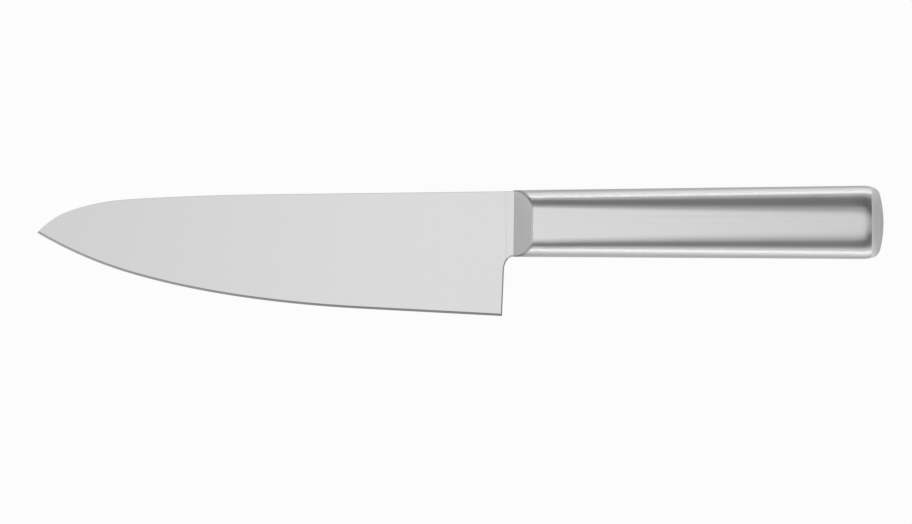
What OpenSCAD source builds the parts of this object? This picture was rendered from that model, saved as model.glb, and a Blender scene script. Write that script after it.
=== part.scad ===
// Chef knife with a hollow steel handle, lying on its side: X runs from the tip to the butt,
// Y from the cutting edge to the spine, Z through the thickness. Lengths in mm, angles in degrees.

/* [Blade] */
// length from the tip to the shoulder of the handle
blade_len = 152.4; // [140:0.1:180]
// height of the blade at its heel
heel_h = 39.9; // [37:0.1:44]
// thickness of the steel at the spine, beside the shoulder
spine_t = 2; // [1.6:0.1:2.8]
// thickness of the steel just behind the cutting bevel
behind_edge_t = 0.44; // [0.3:0.02:0.7]
// angle of the cutting bevel on each side
bevel_angle = 16; // [12:1:22]
// distance from the heel to the shoulder
heel_gap = 3.7; // [2.5:0.1:6]
// lean of the heel's rear edge
heel_lean = 2.6; // [0:0.1:6]
// length of the ricasso, left ahead of the shoulder by the grind
ricasso_len = 2.4; // [1.5:0.1:2.5]
// height of the ricasso above the ground sides
ricasso_step = 0.05; // [0.03:0.01:0.1]
// radius of the hollow between the heel and the handle
choil_r = 3.9; // [3:0.1:5]

/* [Blade curves] */
// rise of the straight part of the edge towards the tip
edge_rise = 3.2; // [2.5:0.1:4]
// radius of the belly's first curve, beside the straight edge
belly_r1 = 435; // [400:5:480]
// radius of the belly's second curve
belly_r2 = 305; // [280:5:340]
// radius of the belly's third curve
belly_r3 = 235; // [210:5:260]
// radius of the edge from the belly to the tip
point_r = 131; // [115:1:150]
// length along X from the tip to the start of the belly
belly_reach = 103.4; // [96:0.1:108]
// fall of the straight part of the spine towards the tip
spine_fall = 0.53; // [0:0.01:1]
// radius where the spine starts to drop
drop_r = 850; // [600:10:1200]
// turn of the spine along that radius
drop_turn = 2.85; // [2:0.05:4]
// radius of the middle of the drop
nose_r = 71; // [60:1:90]
// turn of the spine along the middle of the drop
nose_turn = 14.9; // [12:0.1:17]
// radius of the last curve down to the tip
tip_r = 25; // [21:0.5:30]
// length along X from the tip to the start of the drop
drop_reach = 71.1; // [66:0.1:76]

/* [Handle] */
// length from the shoulder to the crease of the butt cap
handle_len = 114.4; // [105:0.1:125]
// height of the handle at the shoulder
front_h = 21.3; // [20:0.1:24]
// height of the handle at the crease of the butt cap
rear_h = 23.5; // [22:0.1:26]
// thickness of the handle across its flat sides
handle_t = 15; // [13:0.5:16]
// wall of the pressed shells
wall = 1; // [0.8:0.1:1.6]
// length over which the rear rim of the shells rolls inwards
rim_len = 3; // [2:0.1:5]
// depth of that roll
rim_drop = 0.35; // [0.1:0.05:0.6]

/* [Bolster] */
// length of the slanted facets along the handle
facet_len = 5.8; // [4.5:0.1:8]
// half the thickness of the facets' front at the shoulder
facet_foot = 0.75; // [0.6:0.05:1]
// length of the bolster outside the shells
bolster_len = 8.6; // [8.4:0.1:11]
// length of the spigot inside the shells
spigot_len = 7; // [5:0.5:9]
// depth to which the full height of the blade is let into the bolster
neck_depth = 1.6; // [1.2:0.1:2]
// length of the hidden tang behind the shoulder
tang_len = 38; // [28:1:50]
// height of the tang where it leaves the bolster
tang_h = 12; // [9:0.5:13]
// height of the tang at its end
tang_end_h = 8; // [6:0.5:8.5]

/* [Butt cap] */
// height of the dome behind the crease
cap_rise = 4; // [3.8:0.1:4.4]
// radius of the crown of the dome
crown_r = 11.3; // [10.5:0.1:13]
// slope of the dome where it leaves the crease
dome_slope = 15; // [10:1:20]
// length of the spigot inside the shells
cap_spigot_len = 6; // [4:0.5:8]
// wall of the hollow cap
cap_wall = 1.4; // [1.2:0.1:1.8]

/* [Welds] */
// width of the flush beads along the seams and round the rims
bead_w = 0.8; // [0.6:0.1:1]
// leg of the fillets that lock the tang
fillet_leg = 1.6; // [1:0.1:2]

/* [Hidden] */
$fn = 180;

// half the thickness of the handle, also the radius of its rounded edges
edge_r = handle_t / 2;
// slope of the handle's upper line; the lower one is its mirror image
flare = atan((rear_h - front_h) / 2 / handle_len);
// distance of the rounded edges' axes from the handle's axis at the shoulder
axis_gap = front_h / 2 - edge_r;
// height of the spine at the shoulder, a little below the handle's upper line
spine_step = 0.35;
spine_y = front_h / 2 - spine_step;
// cut depth of the swept blade section, more than any height of the blade
sweep_depth = 54;
// width of the cutting bevel and slope of the ground sides
bevel_w = behind_edge_t / 2 / tan(bevel_angle);
side_slope = (spine_t - behind_edge_t) / 2 / (heel_h - bevel_w);
// overlap that keeps cuts clear of the faces they cut
over = 1;
// spare length of the swept slices past the parts that are kept
spare = 9;
// steps along each curve of the outlines
curve_steps = 14;

// heel and end of the straight edge
heel = [-heel_gap, spine_y - heel_h];
straight_end = [-blade_len + belly_reach, heel.y + (blade_len - belly_reach - heel_gap) * tan(edge_rise)];
// the belly's curves in order, each turning the edge by the same angle, given by its sine
belly = [belly_r1, belly_r2, belly_r3];
belly_sine = 0.07584;
belly_turn = asin(belly_sine);
// turn of the last curve of the edge, carried on past the tip
point_turn = 26;

// points of the spine, from the shoulder to the tip
drop_start = [-blade_len + drop_reach, spine_y - (blade_len - drop_reach) * tan(spine_fall)];
nose_angle = spine_fall + drop_turn;
tip_angle = nose_angle + nose_turn;
tip_end_angle = 80;
drop_center = drop_start - drop_r * [-sin(spine_fall), cos(spine_fall)];
nose_start = drop_center + drop_r * [-sin(nose_angle), cos(nose_angle)];
nose_center = nose_start - nose_r * [-sin(nose_angle), cos(nose_angle)];
tip_start = nose_center + nose_r * [-sin(tip_angle), cos(tip_angle)];
tip_center = tip_start - tip_r * [-sin(tip_angle), cos(tip_angle)];

// highest line of the handle, ahead of the rolled rim
top_y = front_h / 2 + (handle_len - rim_len) * tan(flare);
// centre of the object's box, which the frame puts over the origin
box_mid = [(handle_len + cap_rise - blade_len) / 2, (heel.y + top_y) / 2];

// points of an arc of the spine between two angles of fall
function fall_arc(center, r, from, to) =
    [for (i = [0:curve_steps]) let (a = from + (to - from) * i / curve_steps) center + r * [-sin(a), cos(a)]];

// points of an arc by its direction seen from the centre
function arc(center, r, from, to) =
    [for (i = [0:curve_steps]) let (a = from + (to - from) * i / curve_steps) center + r * [cos(a), sin(a)]];

// moves a piece from the handle's axes to the frame of the whole object
module place() {
    translate([-box_mid.x, -box_mid.y, edge_r]) children();
}

// section across the edge: x is the distance out of the blade, y runs through its thickness;
// left_on is what the grind leaves on each side
module blade_section(left_on = 0) {
    thin = behind_edge_t / 2 + left_on;
    thick = thin + (sweep_depth - bevel_w) * side_slope;
    polygon([[0, 0], [-bevel_w, thin], [-sweep_depth, thick], [-sweep_depth, -thick], [-bevel_w, -thin]]);
}

// ground steel behind the straight part of the edge, running on past the shoulder
module straight_slice(left_on = 0) {
    run = ceil(blade_len - belly_reach) + spare;
    translate([run, 0, 0])
        rotate([90, 0, 270])
            linear_extrude(height = run)
                blade_section(left_on);
}

// ground steel behind a curve of the edge that starts here and heads for the tip
module curved_slice(r, lead, turn) {
    translate([0, r, 0])
        rotate_extrude(start = 270 - turn, angle = turn + lead)
            translate([r, 0]) blade_section();
}

// moves on along one curve of the belly to the start of the next
module next_curve(r) {
    translate([-r * sin(belly_turn), r * (1 - cos(belly_turn)), 0]) rotate(-belly_turn) children();
}

// block that keeps the part of a slice on one side of a joint between curves
module joint_block(from) {
    translate([from, -spare, -edge_r]) cube([sweep_depth, sweep_depth + 2 * spare, handle_t]);
}

// ground steel behind one curve of the belly, cut square at both joints
module belly_slice(r) {
    lead = 1;
    intersection() {
        curved_slice(r, lead, belly_turn + lead);
        joint_block(-sweep_depth);
        next_curve(r) joint_block(0);
    }
}

// ground steel behind the belly and the point, from one curve of the belly on
module curved_slices(i) {
    if (i < len(belly)) {
        belly_slice(belly[i]);
        next_curve(belly[i]) curved_slices(i + 1);
    } else {
        curved_slice(point_r, 0, point_turn);
    }
}

// moves slices of the blade from the start of the belly to the handle's axes
module at_belly() {
    translate([straight_end.x, straight_end.y, 0]) rotate(-edge_rise) children();
}

// side view of the blade with its neck, left open below the cutting edge
module blade_outline() {
    heel_foot = heel + [-tan(heel_lean), -1] * spare;
    choil_y = -front_h / 2 - choil_r;
    choil_x = heel.x + (choil_y - heel.y) * tan(heel_lean) + choil_r;
    polygon(concat(
        [[neck_depth, spine_y], [0, spine_y]],
        fall_arc(drop_center, drop_r, spine_fall, nose_angle),
        fall_arc(nose_center, nose_r, nose_angle, tip_angle),
        fall_arc(tip_center, tip_r, tip_angle, tip_end_angle),
        [[-blade_len - spare, heel_foot.y], heel_foot],
        arc([choil_x, choil_y], choil_r, 180, 90),
        [[neck_depth, -front_h / 2]]));
}

// side view of the tang, tapered and rounded at its end
module tang_outline() {
    root = neck_depth / 2;
    end_r = tang_end_h / 2;
    polygon(concat(
        [[root, tang_h / 2], [root, -tang_h / 2]],
        arc([tang_len - end_r, 0], end_r, -90, 90)));
}

module tang() {
    translate([0, 0, -spine_t / 2])
        linear_extrude(height = spine_t)
            tang_outline();
}

// ricasso with the neck that is let into the bolster at its full height
module ricasso() {
    intersection() {
        at_belly() straight_slice(ricasso_step);
        translate([-ricasso_len, -sweep_depth, -edge_r])
            cube([ricasso_len + neck_depth, 2 * sweep_depth, handle_t]);
    }
}

module ground_blade() {
    intersection() {
        union() {
            at_belly() {
                straight_slice();
                curved_slices(0);
            }
            ricasso();
        }
        translate([0, 0, -edge_r])
            linear_extrude(height = handle_t)
                blade_outline();
    }
}

// solid of the handle's shape from a profile: x along the handle, y the half thickness
module half_handle() {
    intersection() {
        translate([0, axis_gap, 0]) rotate(flare) {
            rotate([0, 90, 0]) rotate_extrude(start = 0, angle = 180) mirror([1, -1]) children();
            rotate([90, 0, 0]) linear_extrude(height = rear_h / 2) union() {
                children();
                mirror([0, 1]) children();
            }
        }
        translate([-spare, 0, -handle_t]) cube([handle_len + 2 * spare, rear_h, 2 * handle_t]);
    }
}

module handle_form() {
    half_handle() children();
    mirror([0, 1, 0]) half_handle() children();
}

// the handle's outer shape with the rolled rear rim
module outer_form() {
    roll_r = (rim_len * rim_len + rim_drop * rim_drop) / 2 / rim_drop;
    roll_turn = asin(rim_len / roll_r);
    roll_center = [handle_len - rim_len, edge_r - roll_r];
    handle_form()
        polygon(concat(
            [[handle_len + over, 0], [-over, 0], [-over, edge_r]],
            arc(roll_center, roll_r, 90, 90 - roll_turn),
            [[handle_len + over, edge_r - rim_drop]]));
}

// straight form of the same shape, a given depth under the surface
module inner_form(depth) {
    handle_form()
        translate([-over, 0]) square([handle_len + 2 * over, edge_r - depth]);
}

// slab across the handle between two places along it
module across(from, to) {
    translate([from, -rear_h, -handle_t]) cube([to - from, 2 * rear_h, 2 * handle_t]);
}

// steel of the handle's wall between two places along it
module wall_ring(from, to) {
    difference() {
        intersection() {
            outer_form();
            across(from, to);
        }
        inner_form(wall);
    }
}

// prism between the two slanted facets
module facet_wedge() {
    facet_slope = (edge_r - facet_foot) / facet_len;
    top = edge_r + over;
    apex = -facet_foot / facet_slope;
    crest = apex + top / facet_slope;
    rear = bolster_len + spare;
    translate([0, rear_h, 0])
        rotate([90, 0, 0])
            linear_extrude(height = 2 * rear_h)
                polygon([[apex, 0], [crest, top], [rear, top], [rear, -top], [crest, -top]]);
}

// dome of the butt cap
module dome_form() {
    rim_r = edge_r - rim_drop;
    start = 90 - dome_slope;
    crown_share = crown_r * (1 - cos(start));
    corner_r = (cap_rise * cap_rise + rim_r * rim_r - 2 * crown_r * cap_rise)
        / 2 / (rim_r * sin(start) - cap_rise * cos(start) - crown_share);
    corner = [handle_len - corner_r * cos(start), rim_r - corner_r * sin(start)];
    crown = [handle_len + cap_rise - crown_r, 0];
    meet = atan2(corner.y, corner.x - crown.x);
    lead = 6;
    handle_form()
        polygon(concat(
            [[corner.x + corner_r * cos(start + lead), 0]],
            arc(corner, corner_r, start + lead, meet),
            arc(crown, crown_r, meet, 0)));
}

// half of the object's space on one side of the seam beads
module one_side(side) {
    translate([-spare, -rear_h, side > 0 ? bead_w / 2 : -bead_w / 2 - handle_t])
        cube([handle_len + 2 * spare, 2 * rear_h, handle_t]);
}

// strip of the object's space along one seam
module seam_strip(side) {
    translate([-spare, side > 0 ? 0 : -rear_h, -bead_w / 2])
        cube([handle_len + 2 * spare, rear_h, bead_w]);
}

// the handle's wall between its two ring beads
module shell_wall() {
    wall_ring(bolster_len + bead_w, handle_len - bead_w);
}

module blade() {
    color([0.83, 0.83, 0.84]) place() {
        ground_blade();
        tang();
    }
}

module bolster() {
    color([0.66, 0.66, 0.67]) place() difference() {
        union() {
            intersection() {
                outer_form();
                facet_wedge();
                across(-over, bolster_len);
            }
            intersection() {
                inner_form(wall);
                across(bolster_len, bolster_len + bead_w + spigot_len);
            }
        }
        ground_blade();
        tang();
        translate([-over, spine_y - over * tan(spine_fall), -edge_r]) cube([over, rear_h, handle_t]);
    }
}

module left_handle_shell() {
    color([0.78, 0.78, 0.79]) place() intersection() {
        shell_wall();
        one_side(1);
    }
}

module right_handle_shell() {
    color([0.78, 0.78, 0.79]) place() intersection() {
        shell_wall();
        one_side(-1);
    }
}

module butt_cap() {
    spigot_start = handle_len - bead_w - cap_spigot_len;
    color([0.66, 0.66, 0.67]) place() difference() {
        union() {
            intersection() {
                dome_form();
                across(handle_len, handle_len + cap_rise + over);
            }
            intersection() {
                inner_form(wall);
                across(spigot_start, handle_len);
            }
        }
        intersection() {
            inner_form(wall + cap_wall);
            across(spigot_start - over, handle_len);
        }
    }
}

module spine_seam_weld() {
    color([0.6, 0.6, 0.62]) place() intersection() {
        shell_wall();
        seam_strip(1);
    }
}

module belly_seam_weld() {
    color([0.6, 0.6, 0.62]) place() intersection() {
        shell_wall();
        seam_strip(-1);
    }
}

module bolster_weld() {
    color([0.6, 0.6, 0.62]) place() wall_ring(bolster_len, bolster_len + bead_w);
}

module cap_weld() {
    color([0.6, 0.6, 0.62]) place() wall_ring(handle_len - bead_w, handle_len);
}

module tang_weld() {
    face = bolster_len + bead_w + spigot_len;
    foot = spine_t / 2;
    run = tang_end_h;
    color([0.6, 0.6, 0.62]) place()
        for (side = [0, 1])
            mirror([0, 0, side])
                translate([0, run / 2, 0])
                    rotate([90, 0, 0])
                        linear_extrude(height = run)
                            polygon([[face, foot], [face + fillet_leg, foot], [face, foot + fillet_leg]]);
}

blade();
bolster();
left_handle_shell();
right_handle_shell();
butt_cap();
spine_seam_weld();
belly_seam_weld();
bolster_weld();
cap_weld();
tang_weld();
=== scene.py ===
"""Visual pieces of a chef knife with a hollow steel handle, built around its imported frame."""

import math

import bmesh
import bpy
from mathutils import Matrix, Vector
from mathutils.geometry import intersect_sphere_sphere_2d


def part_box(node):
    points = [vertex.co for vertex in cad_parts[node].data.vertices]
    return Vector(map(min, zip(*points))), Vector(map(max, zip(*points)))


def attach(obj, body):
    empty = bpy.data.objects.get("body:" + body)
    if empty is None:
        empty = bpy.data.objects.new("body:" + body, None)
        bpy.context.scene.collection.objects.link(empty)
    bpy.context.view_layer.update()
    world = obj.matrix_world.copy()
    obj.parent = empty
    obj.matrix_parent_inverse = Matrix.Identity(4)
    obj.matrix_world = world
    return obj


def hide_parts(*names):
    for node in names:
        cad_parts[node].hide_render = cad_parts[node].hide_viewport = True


bl_info = {
    "name": "Hollow handle chef knife",
    "version": (1, 0, 0),
    "blender": (4, 5, 0),
    "location": "View3D > Sidebar > Knife",
    "description": "Builds the finished pieces of a chef knife around its packed frame",
    "category": "Object",
}

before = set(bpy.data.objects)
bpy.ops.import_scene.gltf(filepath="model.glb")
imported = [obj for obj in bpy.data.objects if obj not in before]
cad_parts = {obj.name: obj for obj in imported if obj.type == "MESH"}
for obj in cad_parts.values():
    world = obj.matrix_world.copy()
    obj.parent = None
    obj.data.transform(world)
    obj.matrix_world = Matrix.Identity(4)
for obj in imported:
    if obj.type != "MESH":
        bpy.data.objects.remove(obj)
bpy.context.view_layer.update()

MM = 0.001
# vertices closer than this are one
MERGE = 2e-7
# sides of the rings round the handle
RING_SEGMENTS = 160
# steps along each curve of the edge and along the last one to the tip
CURVE_STEPS = 16
POINT_STEPS = 40
# steps along the shells, their flared end and the dome, and across the softened crests of the facets
SHELL_STEPS = 8
FLARE_STEPS = 16
DOME_STEPS = 28
CREST_STEPS = 8
# length of the bolster's foot that stands on the blade ahead of the shoulder
FOOT_LEAD = 0.1 * MM
# step from the handle's upper line down to the spine
SPINE_STEP = 0.35 * MM
# depth of the blade's full height inside the bolster
NECK_DEPTH = 1.6 * MM
# share of the choil's width behind which its broken edge is left as ground
HONED_SHARE = 0.6
# share of the blade's thickness that is left at the broken edge of the heel
BROKEN_SHARE = 0.35
# longest way from the edge to the spine, and how often it is halved to find one
LONGEST_REACH = 60 * MM
HALVINGS = 40
# radius and turn of the belly's curves, which all turn alike, and of the curves of the spine's drop
BELLY_TURN = math.asin(0.07584)
BELLY_CURVES = (
    (435 * MM, BELLY_TURN),
    (305 * MM, BELLY_TURN),
    (235 * MM, BELLY_TURN),
)
SPINE_CURVES = (
    (850 * MM, math.radians(2.85)),
    (71 * MM, math.radians(14.9)),
    (25 * MM, math.radians(62)),
)
# points round the spine's softened edge, as shares of its radius out and down
SPINE_POINTS = ((0.707, 0.293), (1.0, 1.0))
# wear of the broken heel, the spine, and the cutting edge at the heel, and its growth to the point
BROKEN_WEAR = 0.45
SPINE_WEAR = 0.3
HEEL_WEAR = 0.17
POINT_POWER = 1.7
# painted shade on the crests in their middle, and what it gains to their ends on the spine's and edge's
# side
CREST_PAINTED_SHADE = 0.15
SPINE_SIDE_SHADE_GAIN = 1.6
EDGE_SIDE_SHADE_GAIN = 0.8
# faces that meet at more than this get a crisp edge
CRISP = math.radians(9)
# the same for the bolster, whose softened crests would bend the light on its flat sides
CREST_CRISP = math.radians(4)

left_low, left_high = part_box("left_handle_shell")
right_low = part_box("right_handle_shell")[0]
AXIS_Y = (left_low.y + left_high.y) / 2
MID_Z = (right_low.z + left_high.z) / 2
HALF_T = (left_high.z - right_low.z) / 2
SHELL_FROM = left_low.x
SHELL_TO = left_high.x
BOLSTER_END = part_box("bolster_weld")[0].x
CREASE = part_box("cap_weld")[1].x


def length(name, default, words):
    """Property for a length, its default given in mm."""
    return bpy.props.FloatProperty(
        name=name, description=words, default=default * MM, unit="LENGTH", precision=5
    )


def angle(name, default, words):
    """Property for an angle, its default given in degrees."""
    return bpy.props.FloatProperty(
        name=name, description=words, default=math.radians(default), subtype="ANGLE"
    )


def tone(name, default, words):
    """Property for a linear colour."""
    return bpy.props.FloatVectorProperty(
        name=name, description=words, default=default, subtype="COLOR", size=3, min=0, max=1
    )


def level(name, default, words):
    """Property for the radiance of a light."""
    return bpy.props.FloatProperty(name=name, description=words, default=default, min=0)


def share(name, default, words):
    """Property for a value from 0 to 1."""
    return bpy.props.FloatProperty(
        name=name, description=words, default=default, subtype="FACTOR", min=0, max=1
    )


class BladeSettings(bpy.types.PropertyGroup):
    """Sizes of the ground blade."""

    blade_length: length("Length", 152.4, "From the tip to the shoulder of the handle")
    heel_height: length("Heel height", 39.9, "Height of the blade at its heel")
    spine_thickness: length("Spine thickness", 2.0, "Steel at the spine beside the shoulder")
    behind_edge: length("Behind the edge", 0.44, "Steel just behind the cutting bevel")
    bevel_angle: angle("Bevel angle", 16, "Angle of the cutting bevel on each side")
    heel_gap: length("Heel gap", 3.78, "From the heel to the shoulder")
    heel_lean: angle("Heel lean", 2.6, "Lean of the heel's rear edge")
    heel_chamfer: length("Heel chamfer", 0.4, "Width of the broken edge round the heel")
    choil_width: length("Choil width", 2.9, "Hollow between the heel and the handle, along the knife")
    choil_depth: length("Choil depth", 4.6, "Depth of that hollow below the handle")
    ricasso_length: length("Ricasso", 2.4, "Strip that the grind leaves ahead of the shoulder")
    ricasso_step: length("Ricasso step", 0.05, "Height of that strip above the ground sides")
    spine_round: length("Spine rounding", 0.1, "Radius of the spine's edges")
    edge_rise: angle("Edge rise", 3.2, "Rise of the straight part of the edge")
    belly_reach: length("Belly reach", 103.4, "From the tip to the start of the belly")
    point_radius: length("Point radius", 131, "Curve of the edge from the belly to the tip")
    spine_fall: angle("Spine fall", 0.53, "Fall of the straight part of the spine")
    drop_reach: length("Drop reach", 71.1, "From the tip to the start of the spine's drop")
    tang_length: length("Tang length", 38, "Hidden tang behind the shoulder")
    tang_height: length("Tang height", 12, "Tang where it leaves the bolster")
    tang_end_height: length("Tang end height", 8, "Tang at its rounded end")


class HandleSettings(bpy.types.PropertyGroup):
    """Sizes of the bolster, the shells and the butt cap."""

    handle_length: length("Length", 114.4, "From the shoulder to the crease of the cap")
    front_height: length("Front height", 21.3, "Height of the handle at the shoulder")
    rear_height: length("Rear height", 23.5, "Height of the handle at the crease")
    front_edge: length("Front edges", 5.9, "Width of the rounded edges at the shoulder")
    rear_edge: length("Rear edges", 10.3, "Width of the rounded edges at the crease")
    wall: length("Wall", 1.0, "Wall of the pressed shells")
    rim_length: length("Rim length", 3.0, "Length over which the rear rim rolls inwards")
    rim_drop: length("Rim drop", 0.28, "Depth of that roll on the flat sides")
    rim_tuck: length("Rim tuck", 0.07, "How much deeper it is at the edges")
    facet_length: length("Facet length", 5.8, "Slanted facets along the handle")
    facet_foot: length("Facet foot", 0.75, "Half the thickness of the facets' front")
    crest_round: length("Crest rounding", 0.3, "Softened edge between facet and handle")
    crest_spread: bpy.props.FloatProperty(
        name="Crest spread",
        description="How much wider the softened edge gets to its ends",
        default=2.5,
        min=0,
    )
    flare_length: length("Flare length", 6.5, "Length over which the edges widen to the crease")
    flare: length("Flare", 1.4, "How much they widen there")
    cap_rise: length("Cap rise", 4.0, "Height of the dome behind the crease")
    crown_radius: length("Crown radius", 11.3, "Radius of the crown, seen from the edge")
    dome_slope: angle("Dome slope", 4, "Slope of the dome at the crease, seen from the edge")
    outline_radius: length("Outline radius", 35.3, "Radius of the crown, seen from the side")
    outline_slope: angle("Outline slope", 7, "Slope of the dome at the crease, seen from the side")
    bead_width: length("Bead width", 0.8, "Flush weld beads along the seams")


class SteelSettings(bpy.types.PropertyGroup):
    """Colours and roughness of the finishes."""

    blade_tone: tone("Blade", (0.83, 0.83, 0.83), "Satin ground blade")
    bevel_tone: tone("Bevel", (0.38, 0.38, 0.38), "Honed cutting bevel")
    handle_tone: tone("Handle", (0.76, 0.76, 0.76), "Brushed handle shells")
    facet_tone: tone("Facet", (0.79, 0.79, 0.79), "Cross-ground facets of the bolster")
    cap_tone: tone("Cap", (0.94, 0.94, 0.94), "Satin butt cap")
    weld_tone: tone("Weld", (0.76, 0.76, 0.76), "Dressed weld beads")
    blade_rough: share("Blade roughness", 0.30, "Roughness of the ground blade")
    bevel_rough: share("Bevel roughness", 0.28, "Roughness of the honed bevel")
    handle_rough: share("Handle roughness", 0.26, "Roughness of the shells")
    facet_rough: share("Facet roughness", 0.7, "Roughness of the facets")
    cap_rough: share("Cap roughness", 0.78, "Roughness of the cap")


class StageSettings(bpy.types.PropertyGroup):
    """Camera, lamps and floor."""

    camera_height: length("Camera height", 3000, "Camera above the middle of the knife")
    frame_width: length("Frame width", 291.84, "Width that the picture covers at the knife")
    camera_x: length("Camera X", -1.44, "Middle of the picture along the knife")
    camera_y: length("Camera Y", -3.31, "Middle of the picture across the knife")
    camera_roll: angle("Camera roll", -0.19, "Roll of the camera")
    panel_height: length("Panel height", 1600, "Overhead panel above the floor")
    panel_level: level("Panel level", 0.79, "Radiance of the overhead panel")
    centre_level: level("Centre level", 0.24, "More radiance at the panel's centre")
    edge_flap: level("Edge flap", 0.45, "Radiance of the panel's flap on the edge's side")
    butt_flap: level("Butt flap", 0.4, "Radiance of the panel's flap beyond the butt")
    spine_flap: level("Spine flap", 0.42, "Radiance of the panel's flap on the spine's side")
    spine_wall: level("Spine wall", 0.50, "Radiance of the low wall on the spine's side")
    edge_wall: level("Edge wall", 0.68, "Radiance of the low wall on the edge's side")
    spine_strip: level("Spine strip", 3.3, "More from the strip along the foot of the first wall")
    edge_strip: level("Edge strip", 2.2, "More from the strip along the foot of the second wall")
    tip_level: level("Tip level", 1.1, "Radiance of the tall panel at the tip's end")
    butt_level: level("Butt level", 0.45, "Radiance of the lower panel at the butt's end")
    floor_tone: tone("Floor", (0.90, 0.90, 0.90), "Pale floor")
    floor_lift: share("Floor lift", 0.955, "Share of plain white that the camera sees on the floor")
    floor_mirrored: share("Floor mirrored", 0.1, "Share of it that the steel sees straight down")
    floor_lag: share("Floor lag", 0.13, "How much later the floor turns bright on the edge's side")
    floor_lead: share("Floor lead", 0.08, "How much sooner it does on the spine's side")
    floor_glare: share("Floor glare", 1.0, "Share of it that the steel sees at a low angle")
    floor_rough: share("Floor roughness", 0.3, "Roughness of the floor's gloss")


def new_mesh_object(name, bm, materials, crisp=CRISP):
    """Object at the origin from a bmesh, with crisp edges where faces meet at an angle."""
    mesh = bpy.data.meshes.new(name)
    bm.to_mesh(mesh)
    bm.free()
    mesh.shade_smooth()
    mesh.set_sharp_from_angle(angle=crisp)
    for material in materials:
        mesh.materials.append(material)
    piece = bpy.data.objects.new(name, mesh)
    bpy.context.scene.collection.objects.link(piece)
    return piece


def settle(piece, slot, *nodes):
    """The piece rides on the knife's one body and stands for its CAD nodes."""
    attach(piece, "root")
    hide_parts(*nodes)


def of_type(geom, kind):
    """Elements of one kind from an operator's output."""
    return [g for g in geom if isinstance(g, kind)]


# stretch of the brushing along X, Y and Z, per metre: lengthwise, across the blade, upright
ALONG = (9, 2600, 2600)
ACROSS = (2600, 9, 60)
UPRIGHT = (2600, 14, 14)
# scales of the grain's noises over those coordinates
FINE_LINES = 1.0
COARSE_LINES = 0.31
LONG_STROKES = 0.47
# noise at which a stroke begins, and at which it is deepest
STROKE_FROM = 0.66
STROKE_TO = 0.78
# soft patches, and breaks in the abrasion and painted shade, per metre
PATCH_SCALE = 38
BREAK_SCALE = 420
# share of the abrasion and painted shade that every place keeps, and what the breaks leave beside it
WEAR_AND_SHADE_KEPT = 0.45
WEAR_AND_SHADE_LEFT = 0.7
# depth of the brushing
BRUSH_DEPTH = 0.01 * MM
# kinds of socket on the groups
VALUE = "NodeSocketFloat"
VECTOR = "NodeSocketVector"
COLOUR = "NodeSocketColor"


def cleared(block):
    """Emptied node tree of a new material or world."""
    block.use_nodes = True
    block.node_tree.nodes.clear()
    return block.node_tree


def add_node(tree, kind, inputs=None, **values):
    """New node with its settings, and its inputs linked to sockets or set to constants."""
    node = tree.nodes.new(kind)
    for key, value in values.items():
        setattr(node, key, value)
    for key, value in (inputs or {}).items():
        if isinstance(value, bpy.types.NodeSocket):
            tree.links.new(value, node.inputs[key])
        else:
            node.inputs[key].default_value = value
    return node


def math_node(tree, operation, *inputs, clamp=False):
    """Math node whose inputs are sockets or numbers; returns its output."""
    numbered = dict(enumerate(inputs))
    return add_node(tree, "ShaderNodeMath", numbered, operation=operation, use_clamp=clamp).outputs[0]


def noise_node(tree, vector, scale, detail, roughness=0.55):
    """Noise over coordinates; returns its value."""
    inputs = {"Vector": vector, "Scale": scale, "Detail": detail, "Roughness": roughness}
    return add_node(tree, "ShaderNodeTexNoise", inputs).outputs[0]


def range_node(tree, value, start, end, low=0.0, high=1.0, kind="SMOOTHSTEP"):
    """Goes from low to high while a value goes from start to end; returns the result."""
    inputs = {"Value": value, "From Min": start, "From Max": end, "To Min": low, "To Max": high}
    return add_node(tree, "ShaderNodeMapRange", inputs, interpolation_type=kind).outputs["Result"]


def new_group(name, takes, gives):
    """New shader group with sockets of these kinds; returns its tree and what it is given."""
    tree = bpy.data.node_groups.new(name, "ShaderNodeTree")
    for side, sockets in (("INPUT", takes), ("OUTPUT", gives)):
        for socket, kind in sockets.items():
            tree.interface.new_socket(name=socket, in_out=side, socket_type=kind)
    return tree, add_node(tree, "NodeGroupInput").outputs


def brushed_grain():
    """Group: fine lines over stretched coordinates, single deeper strokes, and broad patches."""
    tree = bpy.data.node_groups.get("Brushed grain")
    if tree:
        return tree
    takes = {"Stretched": VECTOR, "Position": VECTOR}
    gives = {"Lines": VALUE, "Strokes": VALUE, "Patches": VALUE}
    tree, given = new_group("Brushed grain", takes, gives)
    fine = noise_node(tree, given["Stretched"], FINE_LINES, detail=3, roughness=0.65)
    coarse = noise_node(tree, given["Stretched"], COARSE_LINES, detail=2)
    lines = math_node(tree, "MULTIPLY_ADD", coarse, 0.5, math_node(tree, "MULTIPLY", fine, 0.5))
    stroke = noise_node(tree, given["Stretched"], LONG_STROKES, detail=1)
    deep = range_node(tree, stroke, STROKE_FROM, STROKE_TO)
    patches = noise_node(tree, given["Position"], PATCH_SCALE, detail=2)
    add_node(tree, "NodeGroupOutput", {"Lines": lines, "Strokes": deep, "Patches": patches})
    return tree


def wear_and_painted_shade():
    """Group: breaks up the abrasion and painted shade that the pieces carry in their attribute."""
    tree = bpy.data.node_groups.get("Worn edges and painted shade")
    if tree:
        return tree
    tree, given = new_group("Worn edges and painted shade", {"Wear and Shade": VALUE, "Position": VECTOR}, {"Mask": VALUE})
    breaks = noise_node(tree, given["Position"], BREAK_SCALE, detail=3)
    kept = math_node(tree, "MULTIPLY_ADD", breaks, WEAR_AND_SHADE_LEFT, WEAR_AND_SHADE_KEPT, clamp=True)
    mask = math_node(tree, "MULTIPLY", given["Wear and Shade"], kept, clamp=True)
    add_node(tree, "NodeGroupOutput", {"Mask": mask})
    return tree


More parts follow.
